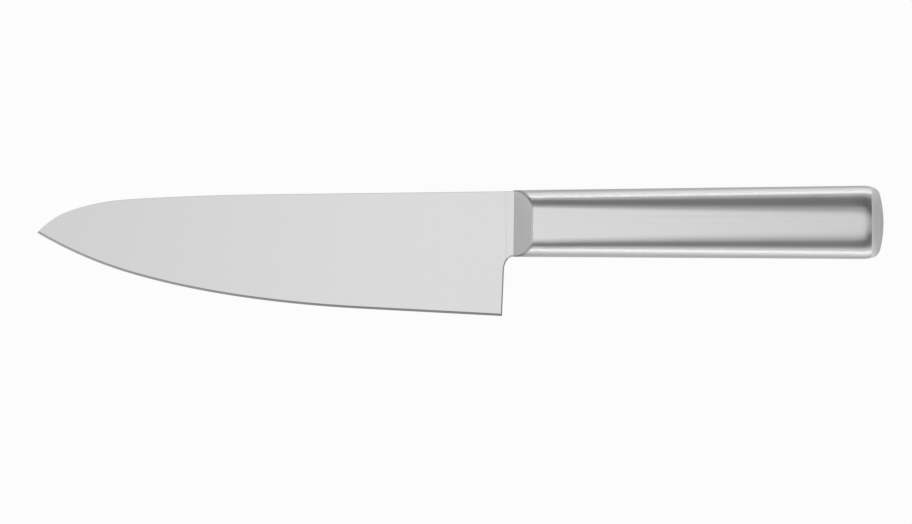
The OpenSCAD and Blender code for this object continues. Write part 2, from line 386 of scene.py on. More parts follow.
def steel_finish():
    """Group: colour, roughness and height of brushed steel from its grain, abrasion and painted shade.
    """
    tree = bpy.data.node_groups.get("Steel finish")
    if tree:
        return tree
    takes = {"Lines": VALUE, "Strokes": VALUE, "Patches": VALUE, "Wear and Shade": VALUE}
    takes.update({"Tone": COLOUR, "Worn Tone": COLOUR, "Roughness": VALUE, "Worn Roughness": VALUE})
    takes.update({"Line Contrast": VALUE, "Patch Contrast": VALUE})
    gives = {"Color": COLOUR, "Roughness": VALUE, "Height": VALUE}
    tree, given = new_group("Steel finish", takes, gives)

    def swing(value, contrast):
        """Noise about zero, at a contrast."""
        middle = math_node(tree, "SUBTRACT", value, 0.5)
        return math_node(tree, "MULTIPLY", middle, contrast)

    def worn_and_shaded(kind, fresh, rubbed_and_shaded):
        """Mix of the fresh look with the grey for abrasion and painted shade, by the mask."""
        inputs = {"Factor": given["Wear and Shade"], "A": fresh, "B": rubbed_and_shaded}
        return add_node(tree, "ShaderNodeMix", inputs, data_type=kind).outputs["Result"]

    lines = swing(given["Lines"], given["Line Contrast"])
    patches = swing(given["Patches"], given["Patch Contrast"])
    stroke = math_node(tree, "MULTIPLY", given["Strokes"], given["Line Contrast"])
    both = math_node(tree, "ADD", lines, patches)
    gain = math_node(tree, "ADD", math_node(tree, "SUBTRACT", both, stroke), 1.0)
    shade = {0: given["Tone"], "Scale": gain}
    shade = add_node(tree, "ShaderNodeVectorMath", shade, operation="SCALE").outputs[0]
    rough = math_node(tree, "MULTIPLY", given["Roughness"], math_node(tree, "SUBTRACT", 1.0, lines))
    rough = math_node(tree, "ADD", rough, patches)
    result = {
        "Color": worn_and_shaded("RGBA", shade, given["Worn Tone"]),
        "Roughness": worn_and_shaded("FLOAT", rough, given["Worn Roughness"]),
        "Height": math_node(tree, "SUBTRACT", given["Lines"], given["Strokes"]),
    }
    add_node(tree, "NodeGroupOutput", result)
    return tree


def steel(name, tone_of, rough, *, worn_and_shaded, worn_rough, grain, lines, patches, bump):
    """Brushed steel: worn_and_shaded is the grey that the mask mixes in, abrasion on some pieces and
    painted shade on others, grain a stretch, lines and patches contrasts, bump a strength.
    """
    material = bpy.data.materials.get(name)
    if material:
        return material
    material = bpy.data.materials.new(name)
    tree = cleared(material)
    place = add_node(tree, "ShaderNodeTexCoord").outputs["Object"]
    stretch = add_node(tree, "ShaderNodeMapping", {"Vector": place, "Scale": grain}).outputs["Vector"]
    spots = {"Stretched": stretch, "Position": place}
    brushed = add_node(tree, "ShaderNodeGroup", spots, node_tree=brushed_grain()).outputs
    marked = add_node(tree, "ShaderNodeAttribute", attribute_name="wear_and_painted_shade").outputs["Fac"]
    spots = {"Wear and Shade": marked, "Position": place}
    rubbed_and_shaded = add_node(tree, "ShaderNodeGroup", spots, node_tree=wear_and_painted_shade()).outputs
    look = {
        "Lines": brushed["Lines"],
        "Strokes": brushed["Strokes"],
        "Patches": brushed["Patches"],
        "Wear and Shade": rubbed_and_shaded["Mask"],
        "Tone": (*tone_of, 1),
        "Worn Tone": (worn_and_shaded, worn_and_shaded, worn_and_shaded, 1),
        "Roughness": rough,
        "Worn Roughness": worn_rough,
        "Line Contrast": lines,
        "Patch Contrast": patches,
    }
    finish = add_node(tree, "ShaderNodeGroup", look, node_tree=steel_finish()).outputs
    raised = {"Height": finish["Height"], "Strength": bump, "Distance": BRUSH_DEPTH}
    look = {
        "Base Color": finish["Color"],
        "Metallic": 1.0,
        "Roughness": finish["Roughness"],
        "Normal": add_node(tree, "ShaderNodeBump", raised).outputs["Normal"],
    }
    metal = add_node(tree, "ShaderNodeBsdfPrincipled", look).outputs["BSDF"]
    add_node(tree, "ShaderNodeOutputMaterial", {"Surface": metal})
    return material


def blade_steel():
    s = bpy.context.scene.knife_steel
    ground = dict(worn_and_shaded=0.72, worn_rough=0.32, grain=ACROSS, lines=0.02, patches=0.02, bump=0.03)
    return steel("Satin blade steel", s.blade_tone, s.blade_rough, **ground)


def bevel_steel():
    s = bpy.context.scene.knife_steel
    honed = dict(worn_and_shaded=0.8, worn_rough=0.28, grain=ALONG, lines=0.1, patches=0.05, bump=0.1)
    return steel("Honed bevel steel", s.bevel_tone, s.bevel_rough, **honed)


# brushing of the shells and of the welds dressed with them, and grinding of the facets and the cap
HANDLE_BRUSHING = dict(worn_rough=0.3, grain=ALONG, lines=0.05, patches=0.03, bump=0.05)
END_GRINDING = dict(grain=UPRIGHT, lines=0.06, patches=0.04, bump=0.08)


def handle_steel():
    s = bpy.context.scene.knife_steel
    # the dark grey 0.2 is painted shade: of the pieces in this steel, only the bolster's softened
    # crests carry the mask that lays it on
    return steel("Brushed handle steel", s.handle_tone, s.handle_rough, worn_and_shaded=0.2, **HANDLE_BRUSHING)


def weld_steel():
    s = bpy.context.scene.knife_steel
    return steel("Dressed weld steel", s.weld_tone, s.handle_rough, worn_and_shaded=0.76, **HANDLE_BRUSHING)


def facet_steel():
    s = bpy.context.scene.knife_steel
    worn_and_shaded = dict(worn_and_shaded=0.72, worn_rough=0.4)
    return steel("Cross-ground steel", s.facet_tone, s.facet_rough, **worn_and_shaded, **END_GRINDING)


def cap_steel():
    s = bpy.context.scene.knife_steel
    # the darker grey 0.58 is painted shade, laid on more towards the dome's end; the roughness stays
    # the cap's own
    worn_and_shaded = dict(worn_and_shaded=0.58, worn_rough=s.cap_rough)
    return steel("Satin cap steel", s.cap_tone, s.cap_rough, **worn_and_shaded, **END_GRINDING)


def rim_tuck(x):
    """How much the rounded edges are tucked in at a place along the handle, in the rear rim alone."""
    h = bpy.context.scene.knife_handle
    return h.rim_tuck * max(1 - (CREASE - x) / h.rim_length, 0) ** 2


def handle_edge(x, radius):
    """Width of the rounded edges at a place along the handle, for a skin of this half thickness."""
    h = bpy.context.scene.knife_handle
    along = 1 - (CREASE - x) / h.handle_length
    flare = max(1 - (CREASE - x) / h.flare_length, 0)
    width = h.front_edge + (h.rear_edge - h.front_edge) * along + h.flare * flare**2
    return width - HALF_T + radius - rim_tuck(x)


def handle_gap(x):
    """Distance of the rounded edges' axes from the handle's axis at a place along it."""
    h = bpy.context.scene.knife_handle
    along = 1 - (CREASE - x) / h.handle_length
    height = h.front_height + (h.rear_height - h.front_height) * along
    gap = height / 2 - handle_edge(x, HALF_T) - rim_tuck(x)
    if gap <= 0:
        raise ValueError("the rounded edges are wider than the handle")
    return gap


def handle_ring(bm, x, radius):
    """Closed ring round the handle: two half ellipses joined by straight sides."""
    turned = Matrix.Rotation(math.pi / 2, 4, "Y") @ Matrix.Rotation(math.pi / RING_SEGMENTS, 4, "Z")
    axis = Matrix.Translation((x, AXIS_Y, MID_Z))
    made = bmesh.ops.create_circle(bm, segments=RING_SEGMENTS, radius=radius, matrix=axis @ turned)
    ring = made["verts"]
    widen = (1, handle_edge(x, radius) / radius, 1)
    bmesh.ops.scale(bm, vec=widen, space=axis.inverted(), verts=ring)
    for side in (1, -1):
        half = [v for v in ring if (v.co.y - AXIS_Y) * side > 0]
        bmesh.ops.translate(bm, vec=(0, side * handle_gap(x), 0), verts=half)
    return list({e for v in ring for e in v.link_edges})


def handle_skin(bm, stations):
    """Skin through rings at stations, each a place and a half thickness."""
    ring = handle_ring(bm, *stations[0])
    for (x, radius), (next_x, next_radius) in zip(stations, stations[1:]):
        grown = bmesh.ops.extrude_edge_only(bm, edges=ring)["geom"]
        verts = of_type(grown, bmesh.types.BMVert)
        fresh = set(verts)
        ring = [e for e in of_type(grown, bmesh.types.BMEdge) if fresh.issuperset(e.verts)]
        widen = handle_edge(next_x, next_radius) / handle_edge(x, radius)
        change = (1, widen, next_radius / radius)
        for side in (1, -1):
            half = [v for v in verts if (v.co.y - AXIS_Y) * side > 0]
            axis = Vector((x, AXIS_Y + side * handle_gap(x), MID_Z))
            bmesh.ops.scale(bm, vec=change, space=Matrix.Translation(-axis), verts=half)
            step = (next_x - x, side * (handle_gap(next_x) - handle_gap(x)), 0)
            bmesh.ops.translate(bm, vec=step, verts=half)


def rim_radius(x):
    """Half thickness of the shells at a place along them, with the roll of the rear rim."""
    h = bpy.context.scene.knife_handle
    along = x - (CREASE - h.rim_length)
    if along <= 0:
        return HALF_T
    roll = (h.rim_length**2 + h.rim_drop**2) / 2 / h.rim_drop
    return HALF_T - roll + math.sqrt(roll**2 - along**2)


def shell_tube(start, end):
    """Closed tube of the shells' wall between two places along the handle."""
    h = bpy.context.scene.knife_handle
    flared = CREASE - h.flare_length
    places = {start, end}
    places.update(start + (flared - start) * i / SHELL_STEPS for i in range(1, SHELL_STEPS + 1))
    places.update(flared + h.flare_length * i / FLARE_STEPS for i in range(1, FLARE_STEPS))
    kept = [x for x in sorted(places) if start <= x <= end]
    inner = HALF_T - h.wall
    outside = [(x, rim_radius(x)) for x in kept]
    inside = [(x, inner) for x in reversed(kept)]
    bm = bmesh.new()
    handle_skin(bm, [(start, inner), *outside, *inside])
    bmesh.ops.remove_doubles(bm, verts=bm.verts, dist=MERGE)
    bmesh.ops.recalc_face_normals(bm, faces=bm.faces)
    return bm


def keep_side(bm, place, direction):
    """Cuts a closed mesh with a plane, keeps the side that the direction points to, closes it."""
    geom = bm.verts[:] + bm.edges[:] + bm.faces[:]
    cut = bmesh.ops.bisect_plane(
        bm, geom=geom, dist=MERGE, plane_co=place, plane_no=direction, clear_inner=True
    )["geom_cut"]
    return bmesh.ops.edgeloop_fill(bm, edges=of_type(cut, bmesh.types.BMEdge))["faces"]


class KNIFE_OT_shells(bpy.types.Operator):
    """Press the two half shells of the handle"""

    bl_idname = "knife.shells"
    bl_label = "Handle shells"

    def execute(self, context):
        seam = context.scene.knife_handle.bead_width / 2
        for name, side in (("left", 1), ("right", -1)):
            bm = shell_tube(SHELL_FROM, SHELL_TO)
            keep_side(bm, (0, 0, MID_Z + side * seam), (0, 0, side))
            bmesh.ops.recalc_face_normals(bm, faces=bm.faces)
            shell = new_mesh_object(f"{name}_shell_pressing", bm, [handle_steel()])
            settle(shell, "handle_steel", f"{name}_handle_shell")
        return {"FINISHED"}


class KNIFE_OT_welds(bpy.types.Operator):
    """Lay the flush beads along the seams and round both ends of the shells"""

    bl_idname = "knife.welds"
    bl_label = "Weld beads"

    def execute(self, context):
        seam = context.scene.knife_handle.bead_width / 2
        for name, side in (("spine", 1), ("belly", -1)):
            bm = shell_tube(SHELL_FROM, SHELL_TO)
            keep_side(bm, (0, AXIS_Y, 0), (0, side, 0))
            keep_side(bm, (0, 0, MID_Z - seam), (0, 0, 1))
            keep_side(bm, (0, 0, MID_Z + seam), (0, 0, -1))
            bmesh.ops.recalc_face_normals(bm, faces=bm.faces)
            bead = new_mesh_object(f"{name}_seam_bead", bm, [weld_steel()])
            settle(bead, "weld_steel", f"{name}_seam_weld")
        for name, start, end in (("bolster", BOLSTER_END, SHELL_FROM), ("cap", SHELL_TO, CREASE)):
            bead = new_mesh_object(f"{name}_ring_bead", shell_tube(start, end), [weld_steel()])
            settle(bead, "weld_steel", f"{name}_weld")
        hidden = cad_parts["tang_weld"]
        hidden.data.materials.clear()
        hidden.data.materials.append(weld_steel())
        return {"FINISHED"}


class KNIFE_OT_bolster(bpy.types.Operator):
    """Cut the bolster's slanted facets and soften their crests"""

    bl_idname = "knife.bolster"
    bl_label = "Bolster"

    def execute(self, context):
        h = context.scene.knife_handle
        shoulder = CREASE - h.handle_length
        front = shoulder - FOOT_LEAD
        slope = (HALF_T - h.facet_foot) / h.facet_length
        bm = bmesh.new()
        wear_and_shade = bm.verts.layers.float.new("wear_and_painted_shade")
        handle_skin(bm, [(front, HALF_T), (BOLSTER_END, HALF_T)])
        bmesh.ops.holes_fill(bm, edges=bm.edges[:])
        facets = []
        for side in (1, -1):
            foot = (shoulder, AXIS_Y, MID_Z + side * h.facet_foot)
            facets += keep_side(bm, foot, (slope, 0, -side))
        bmesh.ops.recalc_face_normals(bm, faces=bm.faces)
        crests = [e for f in facets for e in f.edges if max(v.co.x for v in e.verts) > front + MERGE]
        for f in facets:
            f.material_index = 1
        rounded = bmesh.ops.bevel(
            bm,
            geom=crests,
            offset=h.crest_round,
            offset_type="OFFSET",
            segments=CREST_STEPS,
            profile=0.5,
            affect="EDGES",
            material=-1,
            clamp_overlap=False,
        )
        strip = set(rounded["faces"])
        for f in strip:
            f.material_index = 0
        # towards the handle's edges the rounding runs further back, and painted shade darkens it, most
        # on the spine's side
        for v in rounded["verts"]:
            outward = (abs(v.co.y - AXIS_Y) / h.front_height * 2) ** 2
            behind = v.co.x - shoulder - (abs(v.co.z - MID_Z) - h.facet_foot) / slope
            v.co.x += behind * h.crest_spread * outward
            if strip.issuperset(v.link_faces):
                gain = SPINE_SIDE_SHADE_GAIN if v.co.y > AXIS_Y else EDGE_SIDE_SHADE_GAIN
                v[wear_and_shade] = min(outward * gain + CREST_PAINTED_SHADE, 1.0)
        piece = new_mesh_object("faceted_bolster", bm, [handle_steel(), facet_steel()], CREST_CRISP)
        settle(piece, "satin_steel", "bolster")
        return {"FINISHED"}


class Dome:
    """One outline of the dome: a corner that leaves the crease at a slope, then a crown."""

    def __init__(self, rim, slope, crown_radius, rise):
        start = math.pi / 2 - slope
        spare = rim * math.sin(start) - rise * math.cos(start) - crown_radius * (1 - math.cos(start))
        self.corner_radius = (rise**2 + rim**2 - 2 * crown_radius * rise) / 2 / spare
        outwards = Vector((math.cos(start), math.sin(start)))
        self.corner = outwards * -self.corner_radius + Vector((0, rim))
        self.crown_radius = crown_radius
        self.crown_x = rise - crown_radius
        meet = math.atan2(self.corner.y, self.corner.x - self.crown_x)
        self.meet_x = self.crown_x + crown_radius * math.cos(meet)

    def half(self, x):
        """Half the dome's size at a distance behind the crease."""
        if x > self.meet_x:
            return math.sqrt(max(self.crown_radius**2 - (x - self.crown_x) ** 2, 0))
        return self.corner.y + math.sqrt(self.corner_radius**2 - (x - self.corner.x) ** 2)


class KNIFE_OT_butt_cap(bpy.types.Operator):
    """Round the dome of the butt cap"""

    bl_idname = "knife.butt_cap"
    bl_label = "Butt cap"

    def execute(self, context):
        h = context.scene.knife_handle
        half_height = h.rear_height / 2 - h.rim_drop - h.rim_tuck
        thick = Dome(HALF_T - h.rim_drop, h.dome_slope, h.crown_radius, h.cap_rise)
        tall = Dome(half_height, h.outline_slope, h.outline_radius, h.cap_rise)
        bm = bmesh.new()
        wear_and_shade = bm.verts.layers.float.new("wear_and_painted_shade")
        ring = handle_ring(bm, CREASE, thick.half(0))
        x = 0.0
        for i in range(1, DOME_STEPS + 1):
            next_x = h.cap_rise * (1 - (1 - i / DOME_STEPS) ** 2)
            grown = bmesh.ops.extrude_edge_only(bm, edges=ring)["geom"]
            verts = of_type(grown, bmesh.types.BMVert)
            fresh = set(verts)
            ring = [e for e in of_type(grown, bmesh.types.BMEdge) if fresh.issuperset(e.verts)]
            change = (1, tall.half(next_x) / tall.half(x), thick.half(next_x) / thick.half(x))
            axis = Vector((CREASE + x, AXIS_Y, MID_Z))
            bmesh.ops.scale(bm, vec=change, space=Matrix.Translation(-axis), verts=verts)
            bmesh.ops.translate(bm, vec=(next_x - x, 0, 0), verts=verts)
            x = next_x
        bmesh.ops.remove_doubles(bm, verts=bm.verts, dist=MERGE)
        bmesh.ops.dissolve_degenerate(bm, edges=bm.edges, dist=MERGE)
        bmesh.ops.holes_fill(bm, edges=bm.edges[:])
        bmesh.ops.recalc_face_normals(bm, faces=bm.faces)
        # painted shade: the dome's colour darkens towards its end
        for v in bm.verts:
            v[wear_and_shade] = (v.co.x - CREASE) / h.cap_rise
        cap = new_mesh_object("domed_cap", bm, [cap_steel()])
        settle(cap, "satin_steel", "butt_cap")
        return {"FINISHED"}


class Spine:
    """Spine seen from the side: a straight part, then three curves down to the tip."""

    def __init__(self, blade, top):
        self.fall = blade.spine_fall
        self.top = top
        self.drop_x = blade.drop_reach - blade.blade_length
        point = Vector((self.drop_x, top + self.drop_x * math.tan(self.fall)))
        turn = self.fall
        self.arcs = []
        for radius, change in SPINE_CURVES:
            centre = point - radius * Vector((-math.sin(turn), math.cos(turn)))
            turn += change
            point = centre + radius * Vector((-math.sin(turn), math.cos(turn)))
            self.arcs.append((centre, radius, point.x))

    def height(self, x):
        """Height of the spine at a place along the blade."""
        if x >= self.drop_x:
            return self.top + min(x, 0) * math.tan(self.fall)
        arc = next((a for a in self.arcs if x >= a[2]), self.arcs[-1])
        return arc[0].y + math.sqrt(max(arc[1] ** 2 - (x - arc[0].x) ** 2, 0))

    def reach(self, point, direction):
        """Length from a point of the edge to the spine along a direction."""
        near, far = 0.0, LONGEST_REACH
        for _ in range(HALVINGS):
            middle = (near + far) / 2
            there = point + middle * direction
            if there.y < self.height(there.x):
                near = middle
            else:
                far = middle
        return near


def draw_to(bm, verts, *points):
    """Carries a line of vertices on through points."""
    for point in points:
        grown = bmesh.ops.extrude_vert_indiv(bm, verts=[verts[-1]])["verts"][0]
        grown.co = (*point, 0)
        verts.append(grown)


def draw_arc(bm, verts, centre, turn, steps):
    """Carries a line of vertices on round a centre."""
    spun = bmesh.ops.spin(
        bm, geom=[verts[-1]], cent=(*centre, 0), axis=(0, 0, 1), angle=turn, steps=steps
    )
    walked = of_type(spun["geom_last"], bmesh.types.BMVert)
    while walked[-1] is not verts[-1]:
        near = [e.other_vert(walked[-1]) for e in walked[-1].link_edges]
        walked.append(next(v for v in near if v not in walked))
    verts.extend(reversed(walked[:-1]))


def extrude_row(bm, row):
    """Extrudes a line of vertices and returns the new line in the same order."""
    edges = [bm.edges.get(pair) for pair in zip(row, row[1:])]
    fresh = set(of_type(bmesh.ops.extrude_edge_only(bm, edges=edges)["geom"], bmesh.types.BMVert))
    return [next(e.other_vert(v) for e in v.link_edges if e.other_vert(v) in fresh) for v in row]


class KNIFE_OT_blade(bpy.types.Operator):
    """Grind the blade: cutting bevel, tapered sides, broken heel edge, rounded spine, ricasso"""

    bl_idname = "knife.blade"
    bl_label = "Blade"

    def execute(self, context):
        b = context.scene.knife_blade
        h = context.scene.knife_handle
        top = h.front_height / 2 - SPINE_STEP
        spine = Spine(b, top)
        bevel_width = b.behind_edge / 2 / math.tan(b.bevel_angle)
        slope = (b.spine_thickness - b.behind_edge) / 2 / (b.heel_height - bevel_width)
        heel = Vector((-b.heel_gap, top - b.heel_height))
        run = b.blade_length - b.belly_reach - b.heel_gap
        straight_end = heel + Vector((-run, run * math.tan(b.edge_rise)))

        def inward(turn):
            """Direction from the edge to the spine, after a turn of the edge."""
            return Vector((math.sin(b.edge_rise + turn), math.cos(b.edge_rise + turn)))

        def side_z(point):
            """Half thickness of the side behind the straight edge."""
            behind = (Vector(point[:2]) - heel).dot(inward(0)) - bevel_width
            return b.behind_edge / 2 + slope * behind

        bm = bmesh.new()
        wear_and_shade = bm.verts.layers.float.new("wear_and_painted_shade")

        # cutting edge: heel, straight part, belly, point; and the direction across the blade
        edge = [bm.verts.new((*heel, 0))]
        draw_to(bm, edge, heel + (straight_end - heel).normalized() * b.heel_chamfer, straight_end)
        across = [inward(0)] * len(edge)
        turn, start = 0.0, straight_end
        for radius, change in BELLY_CURVES:
            centre = start + radius * inward(turn)
            draw_arc(bm, edge, centre, -change, CURVE_STEPS)
            across += [inward(turn + change * i / CURVE_STEPS) for i in range(1, CURVE_STEPS + 1)]
            turn += change
            start = centre - radius * inward(turn)
        centre = start + b.point_radius * inward(turn)
        last_centre, last_radius, _ = spine.arcs[-1]
        tips = []
        for radius in (b.point_radius, b.point_radius - bevel_width):
            met = intersect_sphere_sphere_2d(centre, radius, last_centre, last_radius)
            tips.append(min(met, key=lambda p: p.x))
        change = (start - centre).angle(tips[0] - centre)
        draw_arc(bm, edge, centre, -change, POINT_STEPS)
        across += [inward(turn + change * i / POINT_STEPS) for i in range(1, POINT_STEPS + 1)]

        # cutting bevel
        shoulder = extrude_row(bm, edge)
        for v, e, d in zip(shoulder, edge, across):
            v.co = (*(e.co.xy + bevel_width * d), b.behind_edge / 2)
        shoulder[-1].co.xy = tips[1]
        bevel = set(bm.faces)

        # tapered sides behind the belly and the point, up to the rounding of the spine
        crown = extrude_row(bm, shoulder[2:])
        rounding = []
        for v, e, d in zip(crown, edge[2:], across[2:]):
            reach = spine.reach(e.co.xy, d)
            inset = min(b.spine_round, max(reach - bevel_width, 0) / 2)
            reach = max(reach - inset, bevel_width)
            v.co = (*(e.co.xy + reach * d), b.behind_edge / 2 + slope * (reach - bevel_width))
            rounding.append(inset * d)
        crown[-1].co = shoulder[-1].co
        rounding[-1] = Vector((0, 0))

        # flat side behind the straight edge with the ricasso, the neck and the tang
        choil_y = -h.front_height / 2 - b.choil_depth
        choil = Vector((heel.x + (choil_y - heel.y) * math.tan(b.heel_lean) + b.choil_width, choil_y))
        hollow_r = b.choil_width + b.heel_chamfer
        end_r = b.tang_end_height / 2
        rear = [crown[0]]
        low = top - b.spine_round
        draw_to(bm, rear, (0, low), (NECK_DEPTH, low), (NECK_DEPTH, b.tang_height / 2))
        draw_to(bm, rear, (b.tang_length - end_r, end_r))
        draw_arc(bm, rear, Vector((b.tang_length - end_r, 0)), -math.pi, CURVE_STEPS)
        draw_to(bm, rear, (NECK_DEPTH, -b.tang_height / 2), (NECK_DEPTH, choil.y + hollow_r))
        draw_to(bm, rear, choil + Vector((0, hollow_r)))
        hollow_from = len(rear) - 2
        draw_arc(bm, rear, choil, math.pi / 2, CURVE_STEPS)
        deepen = (1, b.choil_depth / b.choil_width, 1)
        round_choil = Matrix.Translation((-choil.x, -choil.y, 0))
        bmesh.ops.scale(bm, vec=deepen, space=round_choil, verts=rear[hollow_from:])
        for v in rear[1:]:
            v.co.z = side_z(v.co)
        bm.edges.new((rear[-1], shoulder[1]))
        loop = [*rear, shoulder[1], shoulder[2]]
        closed = [bm.edges.get(pair) for pair in zip(loop, loop[1:] + loop[:1])]
        bmesh.ops.edgeloop_fill(bm, edges=closed)

        # broken edge round the heel and the choil
        row = [*rear[hollow_from:], shoulder[1]]
        sides = set(bm.faces)
        broken = extrude_row(bm, row)
        honed_x = choil.x - HONED_SHARE * b.choil_width
        fresh = (f for f in bm.faces if f not in sides)
        bevel.update(f for f in fresh if f.calc_center_median().x < honed_x)
        for v in broken[1:-1]:
            v.co.xy = choil + (v.co.xy - choil) * b.choil_width / hollow_r
        broken[0].co.y = broken[1].co.y
        for v in broken[:-1]:
            v.co.z = side_z(v.co) * BROKEN_SHARE
        shoulder[0].co.z *= BROKEN_SHARE
        broken[-1].co = shoulder[0].co

        # rounded edge of the spine
        row = [rear[2], rear[1], *crown]
        outward = [Vector((0, b.spine_round))] * 2 + rounding
        base = [v.co.copy() for v in row]
        softened = []
        for out, drop in SPINE_POINTS:
            row = extrude_row(bm, row)
            for v, from_co, d in zip(row, base, outward):
                v.co = (*(from_co.xy + out * d), from_co.z - drop * d.length)
            softened += row
        # honing has worn the edge brightest towards the point
        for v in broken:
            v[wear_and_shade] = BROKEN_WEAR
        for v in edge:
            along = max((heel.x - v.co.x) / (heel.x - edge[-1].co.x), 0)
            v[wear_and_shade] = HEEL_WEAR + (1 - HEEL_WEAR) * along**POINT_POWER
        for v in softened:
            v[wear_and_shade] = SPINE_WEAR
        for f in bm.faces:
            f.material_index = int(f in bevel)
        bmesh.ops.remove_doubles(bm, verts=bm.verts, dist=MERGE)

        # strip that the grind leaves ahead of the shoulder
        for x in (-b.ricasso_length - b.ricasso_step, -b.ricasso_length):
            geom = bm.verts[:] + bm.edges[:] + bm.faces[:]
            bmesh.ops.bisect_plane(bm, geom=geom, dist=MERGE, plane_co=(x, 0, 0), plane_no=(1, 0, 0))
        for v in bm.verts:
            if v.co.x > -b.ricasso_length - MERGE:
                v.co.z *= 1 + b.ricasso_step / side_z(v.co)

        # other side, and the walls between the two
        open_edges = [e for e in bm.edges if e.is_boundary and max(abs(v.co.z) for v in e.verts) > 0]
        other = bmesh.ops.duplicate(bm, geom=bm.verts[:] + bm.edges[:] + bm.faces[:])["geom"]
        walls = of_type(bmesh.ops.extrude_edge_only(bm, edges=open_edges)["geom"], bmesh.types.BMVert)
        turned = of_type(other, bmesh.types.BMVert) + walls
        bmesh.ops.scale(bm, vec=(1, 1, -1), verts=turned)
        bmesh.ops.remove_doubles(bm, verts=bm.verts, dist=MERGE)
        bmesh.ops.dissolve_degenerate(bm, edges=bm.edges, dist=MERGE)
        bmesh.ops.recalc_face_normals(bm, faces=bm.faces)
        place = (CREASE - h.handle_length, AXIS_Y, MID_Z)
        bmesh.ops.translate(bm, vec=place, verts=bm.verts)
        tip_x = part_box("blade")[0][0]
        for v in bm.verts:
            v.co.x = max(v.co.x, tip_x)
        piece = new_mesh_object("ground_blade", bm, [blade_steel(), bevel_steel()])
        settle(piece, "blade_steel", "blade")
        return {"FINISHED"}


# half the side of the floor, in metres
FLOOR_HALF = 5
# slant at which the floor begins to glare in the steel, and at which it glares fully
GLARE_FROM = 0.3
GLARE_TO = 0.8
# places across the knife between which that slant shifts, on the edge's and on the spine's side
SHIFT_EDGE_Y = -10 * MM
SHIFT_SPINE_Y = 30 * MM
# tops of the strips at the walls' feet, and of the walls, as sines of the height above the floor
SPINE_STRIP_TOP = 0.08
EDGE_STRIP_TOP = 0.12
WALL_FADE = 0.3
SPINE_WALL_TOP = 0.45
EDGE_WALL_TOP = 0.48
# fades at the foot and the top of the tip's panel, and at the top of the butt's, in the same way
TIP_PANEL_FOOT = (0.25, 0.35)
TIP_PANEL_TOP = (0.8, 0.92)
BUTT_PANEL_TOP = (0.6, 0.85)
# how narrow the walls, the tip's panel and the butt's panel are
WALL_POWER = 2
TIP_POWER = 2.5
BUTT_POWER = 2
# camera's sensor in mm, and how far it sees in metres
SENSOR_WIDTH = 36
CLIP_END = 20


def floor_material(stage):
    """Pale floor: near white to the camera, with its shadow; it glares in the steel at low angles."""
    material = bpy.data.materials.new("Pale floor")
    tree = cleared(material)
    path = add_node(tree, "ShaderNodeLightPath").outputs
    slant = add_node(tree, "ShaderNodeLayerWeight").outputs["Facing"]
    # the floor turns bright sooner on the spine's side than on the edge's
    place = add_node(tree, "ShaderNodeTexCoord").outputs["Object"]
    y = add_node(tree, "ShaderNodeSeparateXYZ", {"Vector": place}).outputs["Y"]
    shift = range_node(
        tree, y, SHIFT_EDGE_Y, SHIFT_SPINE_Y, -stage.floor_lag, stage.floor_lead, "LINEAR"
    )
    slant = math_node(tree, "ADD", slant, shift)
    glare = range_node(tree, slant, GLARE_FROM, GLARE_TO, stage.floor_mirrored, stage.floor_glare)
    mirrored = math_node(tree, "ADD", path["Is Glossy Ray"], path["Is Transmission Ray"])
    seen = math_node(tree, "MULTIPLY", path["Is Camera Ray"], stage.floor_lift)
    lift = math_node(tree, "MULTIPLY_ADD", mirrored, glare, seen)
    look = {"Base Color": (*stage.floor_tone, 1), "Roughness": stage.floor_rough}
    paint = add_node(tree, "ShaderNodeBsdfPrincipled", look).outputs["BSDF"]
    glow = add_node(tree, "ShaderNodeEmission").outputs["Emission"]
    mix = add_node(tree, "ShaderNodeMixShader", {"Fac": lift, 1: paint, 2: glow}).outputs["Shader"]
    add_node(tree, "ShaderNodeOutputMaterial", {"Surface": mix})
    return material


